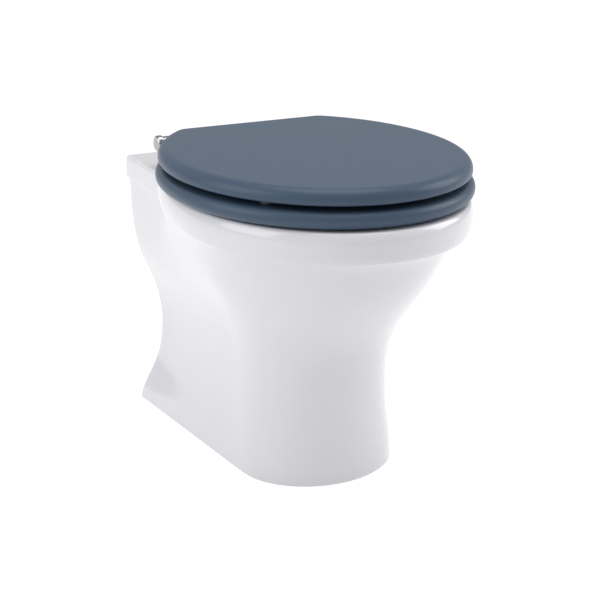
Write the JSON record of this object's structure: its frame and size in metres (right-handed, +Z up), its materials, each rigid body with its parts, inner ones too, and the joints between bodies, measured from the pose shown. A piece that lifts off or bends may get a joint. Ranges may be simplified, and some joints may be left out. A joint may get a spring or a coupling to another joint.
{
  "type": "wall hung toilet",
  "caption": "Wall hung china toilet pan with a rolled rim and waisted skirt, and a thick round-front seat ring and lid that lift on chromed barrel hinges.",
  "frame": {"origin": "middle of the two wall fixing holes, on the wall face of the pan", "axes": "+X across, +Y into the wall, so the bowl is towards -Y, +Z up"},
  "size_m": [0.3828, 0.5255, 0.4179],
  "materials": {
    "glazed_china": "gloss white glaze",
    "seat_paint": "moulded wood with a matt slate blue paint",
    "chrome": "polished",
    "steel": "plain",
    "rubber": "matt black",
    "clear_plastic": "milky translucent",
    "white_plastic": "plain white"
  },
  "bodies": {
    "pan": {"pan": "glazed_china", "hinge_post_left": "chrome", "hinge_post_right": "chrome", "hinge_gasket_left": "rubber", "hinge_gasket_right": "rubber", "hinge_pin_left": "steel", "hinge_pin_right": "steel", "hinge_cap_left": "chrome", "hinge_cap_right": "chrome", "cap_screws": "steel", "seat_bolts": "steel", "cone_washers": "rubber", "wing_nuts": "white_plastic", "fixing_sleeves": "white_plastic", "inlet_seal": "rubber"},
    "ring": {"seat_ring": "seat_paint", "ring_leaf_left": "chrome", "ring_leaf_right": "chrome", "ring_leaf_screws": "steel", "ring_buffers": "clear_plastic"},
    "lid": {"seat_lid": "seat_paint", "lid_leaf_left": "chrome", "lid_leaf_right": "chrome", "lid_leaf_screws": "steel", "lid_buffers": "clear_plastic"}
  },
  "joints": [
    {"name": "ring_hinge", "type": "hinge", "parent": "pan", "child": "ring", "pos_m": [0, -0.091, 0.1247], "axis": [-1, 0, 0], "range_deg": [0, 92]},
    {"name": "lid_hinge", "type": "hinge", "parent": "ring", "child": "lid", "pos_m": [0, -0.091, 0.1247], "axis": [-1, 0, 0], "range_deg": [0, 93]}
  ]
}
